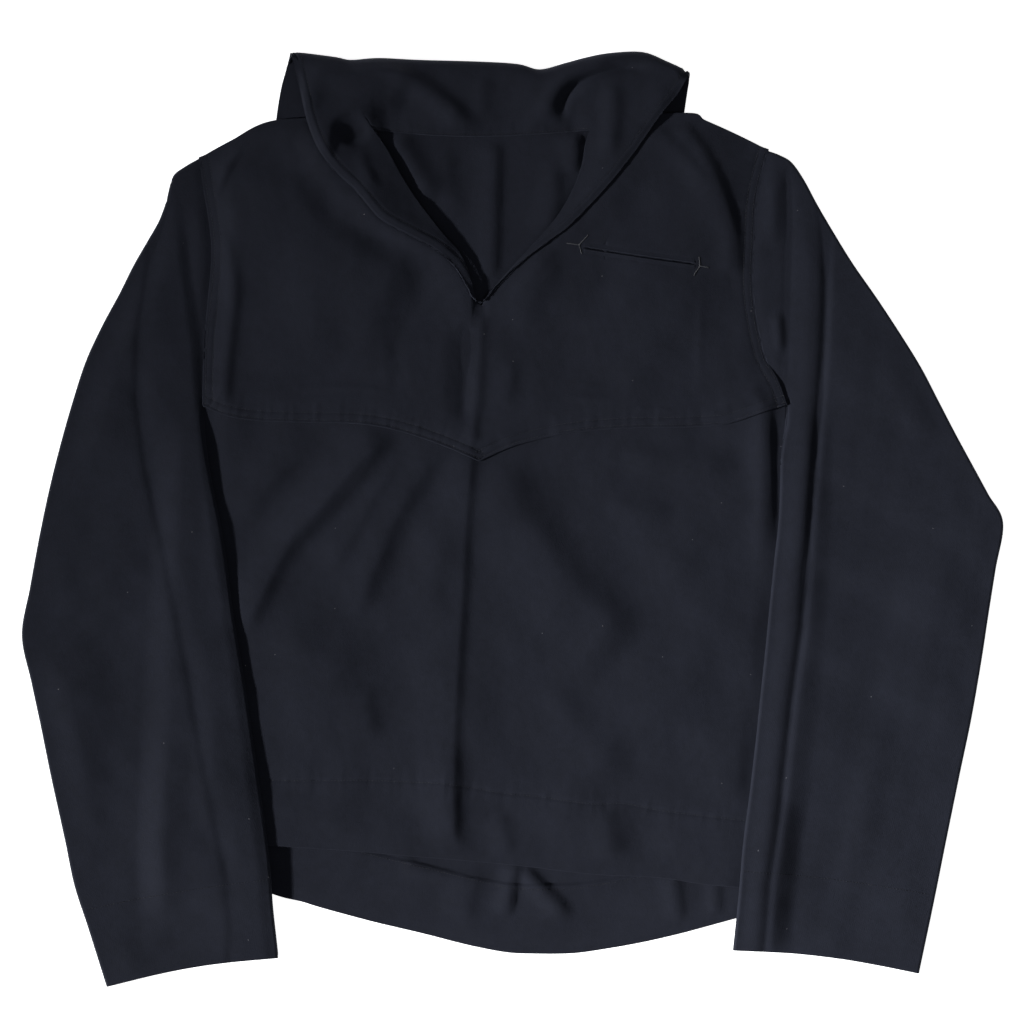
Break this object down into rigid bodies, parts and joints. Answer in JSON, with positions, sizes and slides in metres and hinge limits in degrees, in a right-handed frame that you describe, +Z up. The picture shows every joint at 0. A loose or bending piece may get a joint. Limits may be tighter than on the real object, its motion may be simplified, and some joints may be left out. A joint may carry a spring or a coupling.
{
  "type": "sailor jumper",
  "caption": "Heavy navy wool pullover laid flat on its back: V slit neck, big square collar, pointed yoke, chest pocket, sleeves folded down its sides.",
  "frame": {"origin": "middle of the flat garment's outline, on the surface that it lies on", "axes": "+Z up out of the front, +Y towards the neck, +X towards the wearer's left sleeve"},
  "size_m": [0.7856, 0.7487, 0.017],
  "materials": {
    "navy_wool": "dull brushed wool"
  },
  "bodies": {
    "root": {"back": "navy_wool", "front_body": "navy_wool", "front_yoke": "navy_wool", "collar": "navy_wool", "sleeve_right": "navy_wool", "sleeve_left": "navy_wool", "pocket_welt_upper": "navy_wool", "pocket_welt_lower": "navy_wool"}
  },
  "joints": []
}
